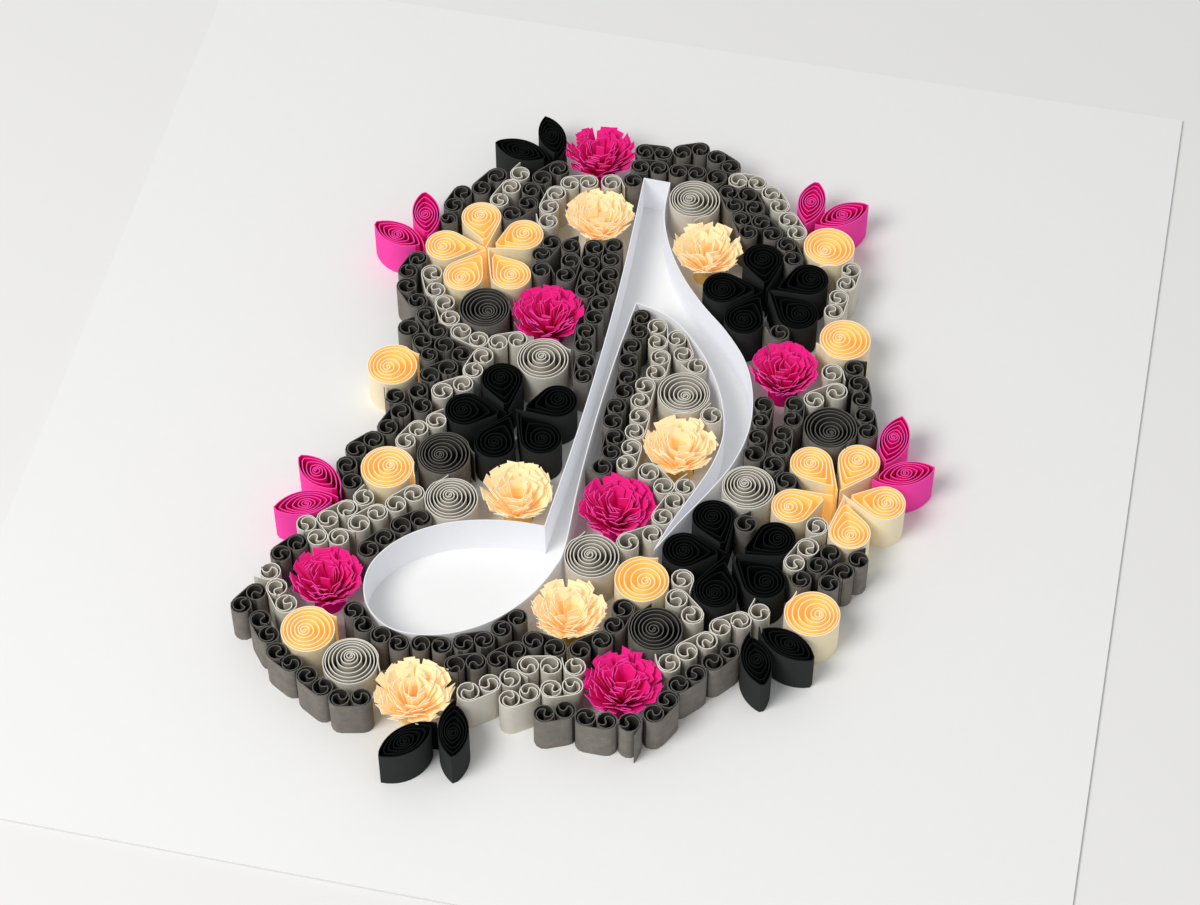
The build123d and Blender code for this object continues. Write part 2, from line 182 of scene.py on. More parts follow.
def strip_faces(strips, points):
    """Quads round and along each strip, two caps a strip, and 1 for each face that was cut."""
    start = 4 * (points * np.arange(strips)[:, None, None] + np.arange(points - 1)[:, None])
    side, beside = np.arange(4), np.array([1, 2, 3, 0])
    walls = np.stack([start + side, start + beside, start + 4 + beside, start + 4 + side], axis=-1)
    first = 4 * points * np.arange(strips)[:, None]
    caps = np.concatenate([first + [3, 2, 1, 0], first + 4 * (points - 1) + [0, 1, 2, 3]])
    cut = np.concatenate([np.tile([0.0, 1.0, 0.0, 1.0], strips * (points - 1)), np.ones(len(caps))])
    return np.concatenate([walls.reshape(-1, 4), caps]), cut


def roll_bundle(corners, turn, eye_side, outer_shade=0.0):
    """Bundle for wound strips, with painted shade on the faces inside the roll: the side that looks at
    the eye, and the other side after one turn; before that the other side takes the painted shade given
    for rolls that stand close to others. The painted glow for light through the paper is on the same
    faces."""
    painted_shade = np.zeros((*turn[:, 1:].shape, 4))
    painted_shade[:, :, eye_side] = 1.0
    painted_shade[:, :, OUTWARD[eye_side]] = np.maximum(turn[:, 1:] > 1.0, outer_shade)
    return corners, painted_shade, painted_shade


print("a strip with three points has", len(strip_faces(1, 3)[0]), "faces")

# %% [markdown]
# The strips of one node become one mesh. A mesh can be made from lists of points and faces, but
# foreach_set puts whole arrays in at once, which is much quicker. Faces are shaded smooth and
# only strong bends stay sharp, so a roll looks round and its cut edge crisp.

# %% A mesh for each piece
SHARP_EDGE = math.radians(40)
FACE_MARKS = ("cut", "painted_shade", "through")


def strip_mesh(name, bundles):
    """One mesh of quads from bundles of strips, with three values on each face.

    A bundle is the strips' corners, the painted shade of their faces, and the strength of the painted
    glow for light coming through.
    """
    faces, corners, count = [], [], 0
    marks = {mark: [] for mark in FACE_MARKS}
    for bundle, painted_shade, through in bundles:
        strips, points = bundle.shape[:2]
        quads, cut = strip_faces(strips, points)
        faces.append(quads + count)
        marks["cut"].append(cut)
        for mark, value in [("painted_shade", painted_shade), ("through", through)]:
            marks[mark].append(np.broadcast_to(value, (strips, points - 1, 4)).ravel())
            marks[mark].append(np.zeros(2 * strips))
        corners.append(bundle.reshape(-1, 3))
        count += len(corners[-1])
    quads = np.concatenate(faces).astype(np.int32)
    mesh = bpy.data.meshes.new(name)
    mesh.vertices.add(count)
    mesh.vertices.foreach_set("co", (np.concatenate(corners) * MM).astype(np.float32).ravel())
    mesh.loops.add(quads.size)
    mesh.loops.foreach_set("vertex_index", quads.ravel())
    mesh.polygons.add(len(quads))
    mesh.polygons.foreach_set("loop_start", np.arange(0, quads.size, 4, dtype=np.int32))
    for mark, values in marks.items():
        attribute = mesh.attributes.new(mark, "FLOAT", "FACE")
        attribute.data.foreach_set("value", np.concatenate(values).astype(np.float32))
    mesh.update(calc_edges=True)
    mesh.polygons.foreach_set("use_smooth", np.ones(len(quads), bool))
    mesh.set_sharp_from_angle(angle=SHARP_EDGE)
    return mesh


def stand(node, bundles):
    """A piece made of bundles of strips, which stands for a node and takes its paper. Gives the
    count of its faces."""
    mesh = strip_mesh(f"{node}_paper", bundles)
    piece = bpy.data.objects.new(f"{node}_paper", mesh)
    bpy.context.scene.collection.objects.link(piece)
    paper = "white" if node == "note_outline" else node.split("_")[0]
    mesh.materials.append(papers[paper])
    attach(piece, "root")
    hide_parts(node)
    return len(mesh.polygons)


print("every face is marked:", ", ".join(FACE_MARKS))

# %% [markdown]
# ## Paper
# Quilling paper is matt and dyed right through. Close up it has a faint cloudiness and a felt of
# short fibres. A picture of paper would show them too, but every strip would need a flat layout.
# So both come from noise on object coordinates inside one node group, which every colour shares.
# The group also mixes the colours of faces, the painted shade of insides and cut edges. The shader
# itself stays in each material.

# %% The shared paper group
CLOUD_SCALE, CLOUD_DETAIL = 420, 4
FIBRE_SCALE, FIBRE_DETAIL = 5200, 3
# A mix node has sockets of the same name for numbers and colours, so those for colours go by place
MIX_A, MIX_B, MIX_RESULT = 6, 7, 2


def paper_group():
    """Node group: face, painted shade and edge colour in; clouded colour, painted glow and fibre height
    out.

    Clouding multiplies the colour by 1 plus the cloudiness times the sum of both noises less 1.
    The painted glow is the colour before clouding, as far as light is meant to come through.
    """
    group = bpy.data.node_groups.new("paper_fibres", "ShaderNodeTree")
    for name in ["Face", "Inside", "Edge"]:
        group.interface.new_socket(name, in_out="INPUT", socket_type="NodeSocketColor")
    for name in ["Painted_shade", "Cut", "Through", "Cloud"]:
        group.interface.new_socket(name, in_out="INPUT", socket_type="NodeSocketFloat")
    for name, kind in [("Color", "Color"), ("Glow", "Color"), ("Height", "Float")]:
        group.interface.new_socket(name, in_out="OUTPUT", socket_type=f"NodeSocket{kind}")
    make, link = group.nodes.new, group.links.new
    given, out = make("NodeGroupInput"), make("NodeGroupOutput")
    where = make("ShaderNodeTexCoord")
    cloud, fibre = make("ShaderNodeTexNoise"), make("ShaderNodeTexNoise")
    for noise, scale, detail in [(cloud, CLOUD_SCALE, CLOUD_DETAIL), (fibre, FIBRE_SCALE, FIBRE_DETAIL)]:
        noise.inputs["Scale"].default_value = scale
        noise.inputs["Detail"].default_value = detail
        link(where.outputs["Object"], noise.inputs["Vector"])
    both, level, shade = (make("ShaderNodeMath") for _ in range(3))
    both.operation, level.operation, shade.operation = "ADD", "SUBTRACT", "MULTIPLY_ADD"
    link(cloud.outputs["Fac"], both.inputs[0])
    link(fibre.outputs["Fac"], both.inputs[1])
    level.inputs[0].default_value = 1.0
    link(given.outputs["Cloud"], level.inputs[1])
    link(both.outputs[0], shade.inputs[0])
    link(given.outputs["Cloud"], shade.inputs[1])
    link(level.outputs[0], shade.inputs[2])
    # Faces inside a roll are mixed towards the colour of their painted shade
    painted_shade_mix, colour = make("ShaderNodeMix"), make("ShaderNodeMix")
    for mix, share, first, second in [(painted_shade_mix, "Painted_shade", given.outputs["Face"], "Inside"),
                                      (colour, "Cut", painted_shade_mix.outputs[MIX_RESULT], "Edge")]:
        mix.data_type = "RGBA"
        link(given.outputs[share], mix.inputs["Factor"])
        link(first, mix.inputs[MIX_A])
        link(given.outputs[second], mix.inputs[MIX_B])
    value = make("ShaderNodeHueSaturation")
    link(colour.outputs[MIX_RESULT], value.inputs["Color"])
    link(shade.outputs[0], value.inputs["Value"])
    link(value.outputs["Color"], out.inputs["Color"])
    link(both.outputs[0], out.inputs["Height"])
    glow = make("ShaderNodeMix")
    glow.data_type, glow.blend_type = "RGBA", "MULTIPLY"
    glow.inputs["Factor"].default_value = 1.0
    link(colour.outputs[MIX_RESULT], glow.inputs[MIX_A])
    link(given.outputs["Through"], glow.inputs[MIX_B])
    link(glow.outputs[MIX_RESULT], out.inputs["Glow"])
    return group


fibres = paper_group()
print("the paper group has", len(fibres.nodes), "nodes")

# %% [markdown]
# Every paper has three colours: of faces in the open, of faces inside a roll, and of cut edges.
# For a single sheet one colour would do. Between turns a millimetre apart light bounces too often
# to leave that to a few bounces in a render, so the inside is painted with shade: darker on dark
# paper, and a stronger colour, painted bounce light, on pale paper. White and peach paper also lets
# light through, and a little emission, a painted glow, stands for it, which an exported model keeps.

# %% Papers
ROUGHNESS, SPECULAR = 0.88, 0.1
FIBRE_HEIGHT = 0.05
# Colour of face, painted shade inside a roll and cut edge, cloudiness, and strength of the painted glow
# for light that comes through
LOOKS = {
    # White paper's painted glow lifts its walls where they stand in shade
    "white_strip": ((0.80, 0.805, 0.835), (0.80, 0.805, 0.835), (0.84, 0.845, 0.87), 0.03, 0.12),
    "magenta_strip": ((1.0, 0.07, 0.44), (0.90, 0.004, 0.23), (1.0, 0.09, 0.48), 0.10, 0.0),
    "peach_strip": ((1.0, 0.88, 0.62), (1.0, 0.62, 0.19), (1.0, 0.91, 0.69), 0.03, 0.25),
    "black_strip": ((0.030, 0.032, 0.032), (0.002, 0.0025, 0.0025), (0.006, 0.0075, 0.0075), 0.2, 0.0),
    "light_grey_strip": ((0.70, 0.66, 0.58), (0.53, 0.49, 0.42), (0.79, 0.76, 0.68), 0.2, 0.0),
    "charcoal_strip": ((0.215, 0.195, 0.174), (0.055, 0.051, 0.045), (0.125, 0.121, 0.110), 0.7, 0.0),
}
CARD_WHITE, CARD_EDGE = (0.87, 0.87, 0.865), (0.89, 0.89, 0.89)


def paper(name, face, within, edge, cloud, glow=0.0, bump=0.25):
    """A matt paper: the shared group paints it, and its fibre height bumps the normal.

    Pale paper lets light through from turn to turn, and `glow` is the strength of the painted glow that
    stands for it. `within` is the colour of the painted shade inside a roll.
    """
    material = bpy.data.materials.new(name)
    material.use_nodes = True
    make, link = material.node_tree.nodes.new, material.node_tree.links.new
    shader = material.node_tree.nodes["Principled BSDF"]
    shader.inputs["Roughness"].default_value = ROUGHNESS
    shader.inputs["Specular IOR Level"].default_value = SPECULAR
    felt = make("ShaderNodeGroup")
    felt.node_tree = fibres
    for socket, colour in [("Face", face), ("Inside", within), ("Edge", edge)]:
        felt.inputs[socket].default_value = (*colour, 1)
    felt.inputs["Cloud"].default_value = cloud
    for mark in FACE_MARKS:
        attribute = make("ShaderNodeAttribute")
        attribute.attribute_name = mark
        link(attribute.outputs["Fac"], felt.inputs[mark.capitalize()])
    relief = make("ShaderNodeBump")
    relief.inputs["Strength"].default_value = bump
    relief.inputs["Distance"].default_value = FIBRE_HEIGHT * MM
    link(felt.outputs["Height"], relief.inputs["Height"])
    link(felt.outputs["Color"], shader.inputs["Base Color"])
    link(relief.outputs["Normal"], shader.inputs["Normal"])
    shader.inputs["Emission Strength"].default_value = glow
    link(felt.outputs["Glow"], shader.inputs["Emission Color"])
    return material


papers = {name.split("_")[-2]: paper(name, *look) for name, look in LOOKS.items()}
card_paper = paper("white_card", CARD_WHITE, CARD_WHITE, CARD_EDGE, cloud=0.02, bump=0.1)
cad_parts["backing_card"].data.materials.clear()
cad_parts["backing_card"].data.materials.append(card_paper)
print(len(papers), "strip papers and one card")

# %% [markdown]
# ## The note
# The note is one white strip, folded at its corners and bent in smooth curves between them.
# The solid has straight facets. Subdivision would round off the folds as well, so its middle line
# is cut at the sharp folds and a Catmull-Rom curve is drawn through the points of each run.

# %% Note outline
CURVE_PIECES = 6
FOLD_TURN = 0.9
SEAM = 0.05


def smooth_run(points):
    """Catmull-Rom curve through points: each stretch is a cubic whose slope at a point is half of
    the way from the point before to the point after; the ends are mirrored outwards."""
    padded = np.concatenate([2 * points[:1] - points[1:2], points, 2 * points[-1:] - points[-2:-1]])
    a, b, c, d = (padded[i:len(padded) - 3 + i, None] for i in range(4))
    t = np.linspace(0, 1, CURVE_PIECES, endpoint=False)
    curve = b + 0.5 * t * (c - a + t * (2 * a - 5 * b + 4 * c - d + t * (3 * (b - c) + d - a)))
    return np.append(curve.ravel(), points[-1])


def note_line():
    """Middle line of the note's strip, half way between the outer and inner outline, and its count
    of folds. The line starts at a fold, a corner that turns by more than FOLD_TURN radians."""
    outer, inner = sorted(loops["note_outline"], key=lambda loop: -np.ptp(loop.imag))
    inner = inner[::-1]
    offsets = [np.abs(outer - np.roll(inner, k)).sum() for k in range(len(inner))]
    line = (outer + np.roll(inner, int(np.argmin(offsets)))) / 2
    turn = np.abs(np.angle((np.roll(line, -1) - line) / (line - np.roll(line, 1))))
    first = int(np.flatnonzero(turn > FOLD_TURN)[0])
    line, turn = np.roll(line, -first), np.roll(turn, -first)
    folds = np.flatnonzero(turn > FOLD_TURN)
    closed = np.append(line, line[0])
    runs = [smooth_run(closed[a:b + 1]) for a, b in zip(folds, [*folds[1:], len(line)])]
    return np.concatenate([run[:-1] for run in runs] + [runs[-1][-1:]]), len(folds)


def off_strips(places, strips):
    """Distance from each place to the near face of the nearest strip, from the middle lines.

    A place is measured to its foot on every run of the lines, or to the run's end.
    """
    start = np.concatenate([lines[:, :-1].ravel() for lines in strips])
    run = np.concatenate([np.diff(lines, axis=1).ravel() for lines in strips])
    foot = np.clip(((places - start) * run.conj()).real / np.abs(run) ** 2, 0, 1)
    return np.abs(places - start - foot * run).min(axis=1, keepdims=True) - PAPER / 2


note, folds = note_line()
note[-1] -= SEAM * (note[-1] - note[-2]) / abs(note[-1] - note[-2])
# The note gets no painted shade, and its whole strip carries the painted glow
faces = stand("note_outline", [(strip_corners(note[None]), 0.0, 1.0)])
print("note:", faces, "faces and", folds, "folds")

# %% [markdown]
# ## Round coils, petals and leaves
# A strip wound on a slotted needle and let go opens into a loose coil. Pinched once it becomes a
# teardrop, pinched twice an eye-shaped leaf. Each could be drawn by hand as a curve, but all three
# are one polar formula about the eye of the roll: the outline in that direction, drawn in with
# every turn, with the pinches fading inwards. Random numbers then make every roll another one.

# %% Wound rolls
SLOW_WAVE = 0.37
CREASE_REACH, CREASE_TURN = 0.8, 0.5
ANY_PHASE = 6.3


def wound(way, turns, start, core, gather, ratio, pinch, drift, wobble):
    """Middle lines of rolls about their eye, as complex points.

    Direction grows evenly by `turns` full circles. Distance falls from 1 to `core`, slowly at both
    ends and fast between: the way less a sine of it, times `gather`, so that turns gather at the
    rim and at the eye. It is multiplied by the outline's ratio in that direction to a power that
    falls from 1 to 0 as 1 - (way / pinch) squared, so the inmost turns are round. The eye drifts
    by `drift`, and two slow waves keep the turns from being exactly even. The last bit is creased
    through the eye.
    """
    angle = start + 2 * math.pi * turns * way
    drawn = way - gather * np.sin(2 * math.pi * way) / (2 * math.pi)
    reach = 1 - (1 - core) * drawn
    size, first, second = wobble
    fast, slow = np.sin(2 * angle + first), np.sin(angle * SLOW_WAVE + second)
    uneven = 1 + size * fast * drawn + size * slow
    sharp = np.maximum(1 - (way / pinch) ** 2, 0)
    eye = drift * drawn
    line = eye + reach * ratio(angle) ** sharp * uneven * np.exp(1j * angle)
    end_eye = eye[:, -1:]
    crease = end_eye - CREASE_REACH * (line[:, -1:] - end_eye) * np.exp(1j * CREASE_TURN)
    return np.concatenate([line, crease], axis=1)


def column(low, high, count):
    """Random values in a column, one for each strip."""
    return rng.uniform(low, high, (count, 1))


def waves(size, count):
    """Size and two phases of the slow waves that make a roll uneven."""
    return size, column(0, ANY_PHASE, count), column(0, ANY_PHASE, count)


print("every roll ends in a crease of", round(math.degrees(CREASE_TURN)), "degrees")

# %% [markdown]
# A coil's solid is wound as well, with fewer turns. Its outer turn gives the eye, the radius and
# the end of the strip. Copies of one coil would be easy to spot, so each has its own count of
# turns, its own eye and its own lift. Outer turns are kept in `walls`, because the small rolls
# that come later have to stop there.

# %% Round coils
HALF_TURN = 4
COIL_TURNS = {"grey": 7.6, "charcoal": 7.4, "peach": 6.6}
TURNS_MORE = (-0.7, 0.7)
COIL_CORE, COIL_WAVES = 0.07, 0.010
COIL_DRIFT, COIL_GATHER, COIL_LIFT = (0.12, 0.26), (0.20, 0.50), (-0.25, 0.45)
COIL_STEPS, TAIL_STEPS = 300, 4
TAIL_LENGTH, TAIL_BEND = 0.6, 0.25
OUTER_POINTS = 50
walls = [note[None]]


def coil_eye(path):
    """Middle of a coil: the point nearest to all lines that join opposite corners of a turn."""
    near, far = path[1:1 + HALF_TURN], path[1 + HALF_TURN:1 + 2 * HALF_TURN]
    run = (far - near) / np.abs(far - near)
    rows = np.column_stack([-run.imag, run.real])
    x, y = np.linalg.lstsq(rows, (near * run.conj()).imag, rcond=None)[0]
    return x + 1j * y


def coil(node):
    """Bundle for a loose coil. A bent tail stands off its rim, and its turns rise or sink evenly
    towards the heart, because a coil is seldom glued down quite flat."""
    path = middle_line(loops[node][0])
    eye = coil_eye(path)
    radius, start = abs(path[1] - eye), np.angle(path[1] - eye)
    way = np.linspace(0, 1, COIL_STEPS)[None]
    t = np.linspace(1, 0, TAIL_STEPS + 1)[None, :-1]
    drift = column(*COIL_DRIFT, 1) * np.exp(1j * column(0, ANY_PHASE, 1))
    turns = COIL_TURNS[node.split("_")[0]] + column(*TURNS_MORE, 1)
    gather = column(*COIL_GATHER, 1)
    roll = wound(way, turns, start, COIL_CORE, gather, np.ones_like, 1, drift, waves(COIL_WAVES, 1))
    bent = TAIL_LENGTH * t * (path[0] - path[1]) * (1 + TAIL_BEND * t * 1j)
    line = np.concatenate([roll[:, :1] * radius + eye + bent, eye + radius * roll], axis=1)
    walls.append(line[:, :OUTER_POINTS])
    lift = np.concatenate([0 * t[0], np.linspace(0, rng.uniform(*COIL_LIFT), COIL_STEPS + 1)])
    turn = np.concatenate([0 * t, turns * way, turns], axis=1)
    corners = strip_corners(line, CARD_TOP + np.maximum(lift, 0), STRIP_TOP + lift)
    return roll_bundle(corners, turn, LEFT_SIDE)


coils = [node for node in loops if "_coil_" in node]
faces = [stand(node, [coil(node)]) for node in coils]
print(len(coils), "round coils of", faces[0], "faces")

# %% [markdown]
# A petal's outline about its eye is a circle, and towards the tip the two straight flanks that
# touch the circle. A leaf's outline is a lens: two arcs that meet in two tips. A round coil that
# is pulled out of shape would keep even gaps at its tip, where real turns lie close together.

# %% Petals and leaves
PETAL_LENGTH, PETAL_RADIUS = 14.2, 4.8
LEAF_LENGTH, LEAF_WIDTH = 15.0, 6.8
PINCHED_STEPS, PINCHED_WAVES = 260, 0.012
SIDEWAYS = (-0.10, 0.10)


def teardrop(angle):
    """Distance to a teardrop's outline, in radii: 1 round the far side, and on the flanks 1 over
    the cosine of the angle to the nearer touching point. The tip is at half a turn."""
    touch = math.acos(PETAL_RADIUS / (PETAL_LENGTH - PETAL_RADIUS))
    off_tip = np.abs((angle % (2 * math.pi)) - math.pi)
    return 1 / np.cos(np.maximum(touch - off_tip, 0))


def lens(angle):
    """Distance to a lens's outline, in half widths, from the law of cosines on its arc: the arc's
    radius follows from the half length and half width, and its centre lies beyond the middle."""
    long, wide = LEAF_LENGTH / 2, LEAF_WIDTH / 2
    arc = (long**2 + wide**2) / (2 * wide)
    beyond = arc - wide
    return (np.sqrt(arc**2 - (beyond * np.cos(angle)) ** 2) - beyond * np.abs(np.sin(angle))) / wide


def pinched(node, outline, across, eye, size, core, drift, turns, gather, pinch):
    """Bundle for a node's pinched rolls. Each starts at its tip, and its eye lies at a distance
    `eye` towards the solid's corner number `across`. Pairs are the ranges of random values."""
    way = np.linspace(0, 1, PINCHED_STEPS)[None]
    paths = np.array([middle_line(loop) for loop in loops[node]])
    tips, count = paths[:, :1], len(paths)
    out = paths[:, across:across + 1] - tips
    out = out / np.abs(out)
    drift = column(*drift, count) + 1j * column(*SIDEWAYS, count)
    turns = column(*turns, count)
    gather, pinch = column(*gather, count), column(*pinch, count)
    roll = wound(way, turns, math.pi, core, gather, outline, pinch, drift, waves(PINCHED_WAVES, count))
    line = tips + out * (eye + size * roll)
    walls.append(line[:, :OUTER_POINTS])
    turn = np.concatenate([turns * way, turns], axis=1)
    return roll_bundle(strip_corners(line), turn, LEFT_SIDE)


PETAL = dict(outline=teardrop, across=7, eye=PETAL_LENGTH - PETAL_RADIUS, size=PETAL_RADIUS - PAPER / 2,
             core=0.10, drift=(0.00, 0.20), turns=(5.6, 6.6), gather=(0.25, 0.45), pinch=(0.46, 0.60))
LEAF = dict(outline=lens, across=3, eye=LEAF_LENGTH / 2, size=(LEAF_WIDTH - PAPER) / 2,
            core=0.12, drift=(-0.15, 0.30), turns=(5.6, 6.4), gather=(0.05, 0.25), pinch=(0.75, 0.95))
for kind, look in [("_petal_", PETAL), ("_leaf_", LEAF)]:
    nodes = [node for node in loops if kind in node]
    faces = [stand(node, [pinched(node, **look)]) for node in nodes]
    print(len(nodes), "nodes with", kind, "in the name, of", faces[0], "faces")

# %% [markdown]
# ## Small scrolls
# The dark and grey ground is packed with scrolls: a short strip with both ends rolled to the same
# side. A solid with nine corners is such a pair, and the corner nearest its middle is the notch on
# its open side. Seven corners are a single roll, whose loose tail is the corner farthest out.
# Where two pairs touch, one outline runs round both, and it is cut in two where they meet.
# One scroll could be modelled and set down a hundred times, but no two are alike on the real card.
# So all are worked out at once as rows of arrays, with few points each, because there are so many.

# %% Where the scrolls stand
ROLL_RADIUS = 2.2
CORNER_ANGLE = math.pi / 6
PAIR_CORNERS, SINGLE_CORNERS = 9, 7


def parted(loop):
    """The outlines of two pairs from one that runs round both.

    It crosses itself at the two points that are nearest to each other but aren't neighbours. One
    part is whole there. The other lost a corner, which is put back between those two points.
    """
    if len(loop) <= PAIR_CORNERS:
        return [loop]
    steps = np.abs(np.arange(len(loop))[:, None] - np.arange(len(loop)))
    apart = np.abs(loop[:, None] - loop)
    apart[np.minimum(steps, len(loop) - steps) < 2] = np.inf
    first, second = np.sort(np.unravel_index(apart.argmin(), apart.shape))
    corner = (loop[first] + loop[second]) / 2
    parts = [loop[first + 1:second], np.concatenate([loop[second + 1:], loop[:first]])]
    return [part if len(part) == PAIR_CORNERS else np.append(part, corner) for part in parts]


def with_corners(node, corners):
    """A node's outlines that have so many corners, one in a row."""
    outlines = [part for loop in loops[node] for part in parted(loop)]
    return np.array([part for part in outlines if len(part) == corners]).reshape(-1, corners)


def pair_places(outlines):
    """Middle of each pair, direction along its back, and half the way between its two rolls.

    A roll's solid has six corners, so its outmost ones lie a radius times the cosine of 30 degrees
    from its middle, along the pair.
    """
    nearest = np.abs(outlines - outlines.mean(axis=1, keepdims=True)).argmin(axis=1)
    notch = np.take_along_axis(outlines, nearest[:, None], axis=1)
    middle = (outlines.sum(axis=1, keepdims=True) - notch) / (outlines.shape[1] - 1)
    along = 1j * (notch - middle) / np.abs(notch - middle)
    local = (outlines - middle) / along
    half_gap = local.real.max(axis=1, keepdims=True) - ROLL_RADIUS * math.cos(CORNER_ANGLE)
    return middle, along, half_gap


def single_places(outlines):
    """Middle of each single roll, and the end of its loose tail."""
    farthest = np.abs(outlines - outlines.mean(axis=1, keepdims=True)).argmax(axis=1)
    tail = np.take_along_axis(outlines, farthest[:, None], axis=1)
    return (outlines.sum(axis=1, keepdims=True) - tail) / (outlines.shape[1] - 1), tail


scroll_nodes = [node for node in loops if "_scrolls_" in node]
pairs = {node: pair_places(with_corners(node, PAIR_CORNERS)) for node in scroll_nodes}
singles = {node: single_places(with_corners(node, SINGLE_CORNERS)) for node in scroll_nodes}
paired = [middle + side * along * gap for middle, along, gap in pairs.values() for side in (-1, 1)]
centres = np.concatenate(paired + [middle for middle, tail in singles.values()])
print(len(centres), "small rolls")

# %% [markdown]
# A small roll springs open until something stops it: the next roll, or the wall of a larger piece.
# A simulation could find that out, but distances do it at once for all rolls. Where rolls stand
# close, little light falls on their outer faces, so these are painted with some of the shade colour of
# insides.
# The needle's slot leaves a sharp crease at the heart of every roll.

# %% How the rolls open
TIGHTEST_ROLL, WIDEST_ROLL = 2.05, 2.5
HAIR = 0.02
# Painted shade on the outer faces of close rolls, and how far out a neighbour is looked for
CROWDED_SHADE, LOOK_OUT = 0.85, 1.7
RING_STEPS, SLOT_STEPS = 20, 8
RING_TURNS, RING_DRAWN, RING_TIGHT = (1.36, 1.62), (0.11, 0.14), (0.20, 0.30)
SLOT_CREASE, SLOT_BEND, SLOT_LENGTH = (1.15, 1.6), (2.4, 2.9), (1.5, 1.75)
STRAIGHT, BEND_POWER = 0.33, 1.7


def crowded_shade(lines, outward):
    """Painted shade on the outer faces of strips: the amount for close rolls where a step out of the
    face, LOOK_OUT long and to the left or right as `outward` is 1 or -1, ends inside another roll."""
    run = np.diff(lines, axis=1)
    seen = lines[:, 1:] + 1j * outward * LOOK_OUT * run / np.abs(run)
    return CROWDED_SHADE * np.any(np.abs(seen[..., None] - centres[:, 0]) < ROLL_RADIUS, axis=2)


def roll_radius(places):
    """Radius of the rolls at some places: they open until they touch the nearest other roll, or
    come within a hair of a larger piece's wall."""
    apart = np.abs(places - centres.T)
    apart[apart < ROLL_RADIUS] = np.inf
    to_roll = apart.min(axis=1, keepdims=True) / 2 + PAPER / 2
    to_wall = off_strips(places, walls) - HAIR
    return np.clip(np.minimum(to_roll, to_wall), TIGHTEST_ROLL, WIDEST_ROLL)


def small_rolls(radius):
    """Rolls about the origin that start at the top and run to the left, and the turns run so far.

    First a ring of a turn and a half, which draws in as the turn squared and tightens at its end.
    Then the part that sat in the needle's slot: a sharp crease sends it straight across the
    middle. What stuck out of the slot bends the other way, first sharply and then less, until it
    rests against the ring. Its points are sums of short steps in a turning direction.
    """
    count, outside = len(radius), radius - PAPER / 2
    turns = column(*RING_TURNS, count)
    turn = turns * np.linspace(0, 1, RING_STEPS)
    tight = np.maximum(2 * (turn - turns) + 1, 0) ** 2
    drawn = 1 - column(*RING_DRAWN, count) * turn**2 - column(*RING_TIGHT, count) * tight
    ring = outside * drawn * np.exp(1j * (math.pi / 2 + 2 * math.pi * turn))
    way = np.linspace(0, 1, SLOT_STEPS + 1)[1:]
    bend = 1 - (1 - np.maximum(way - STRAIGHT, 0) / (1 - STRAIGHT)) ** BEND_POWER
    heading = column(*SLOT_CREASE, count) - column(*SLOT_BEND, count) * bend
    ahead = ring[:, -1:] - ring[:, -2:-1]
    step = outside * column(*SLOT_LENGTH, count) / SLOT_STEPS
    slot = ring[:, -1:] + np.cumsum(step * ahead / np.abs(ahead) * np.exp(1j * heading), axis=1)
    return np.concatenate([ring, slot], axis=1), np.concatenate([turn, turns + way], axis=1)


radii = roll_radius(centres)
print("rolls open to", radii.min().round(2), "to", radii.max().round(2), "mm radius")

# %% [markdown]
# Two such rolls and the straight run between them are one scroll. A roll with a loose tail fills
# the corners where no scroll fits. Their tops end at slightly different heights, as strips that
# were glued down by hand do.

# %% Pairs and singles
UNEVEN_TOPS = 0.2
TAIL_TIP, TAIL_PIECES = 3.4 - 1.1j, 3


def pair_strips(middle, along, half_gap):
    """Scrolls in their places: two rolls, the second mirrored, joined by the straight back."""
    left, left_turn = small_rolls(roll_radius(middle - along * half_gap))
    right, right_turn = small_rolls(roll_radius(middle + along * half_gap))
    line = np.concatenate([(left - half_gap)[:, ::-1], half_gap - right.conj()], axis=1)
    turn = np.concatenate([left_turn[:, ::-1], right_turn], axis=1)
    top = STRIP_TOP - column(0, UNEVEN_TOPS, len(middle))
    line = middle + along * line
    return roll_bundle(strip_corners(line, CARD_TOP, top), turn, RIGHT_SIDE, crowded_shade(line, 1))


def single_strips(middle, tail):
    """Single rolls in their places: the tail comes in along a tangent and runs on round the roll.
    The tangent touches where the cosine of the angle off the tail's tip is radius over distance."""
    touch = np.angle(TAIL_TIP) + math.acos(ROLL_RADIUS / abs(TAIL_TIP))
    roll, turn = small_rolls(roll_radius(middle))
    roll = roll * np.exp(1j * (touch - math.pi / 2))
    t = np.linspace(0, 1, TAIL_PIECES, endpoint=False)[None]
    line = np.concatenate([TAIL_TIP + t * (roll[:, :1] - TAIL_TIP), roll], axis=1)
    turn = np.concatenate([np.zeros((len(middle), t.size)), turn], axis=1)
    top = STRIP_TOP - column(0, UNEVEN_TOPS, len(middle))
    line = middle + (tail - middle) / TAIL_TIP * line
    return roll_bundle(strip_corners(line, CARD_TOP, top), turn, LEFT_SIDE, crowded_shade(line, -1))


faces = 0
for node in scroll_nodes:
    faces += stand(node, [pair_strips(*pairs[node]), single_strips(*singles[node])])
print("scrolls:", faces, "faces in", len(scroll_nodes), "pieces")

# %% [markdown]
# ## Fringed flowers
# A broad strip is cut into a fringe along one edge and rolled up tightly. The foot holds together
# and the fringe is bent outwards, most on the outside, so it opens like a carnation. Every tab of
# the fringe is a short strip of its own that rises from the foot and leans over. Tabs of
# neighbouring turns cling together, so the fringe falls into stacks, like pages. Tabs scattered
# at random would look like hair. Slow waves round the flower make the stacks, because they change
# little from one turn to the next.

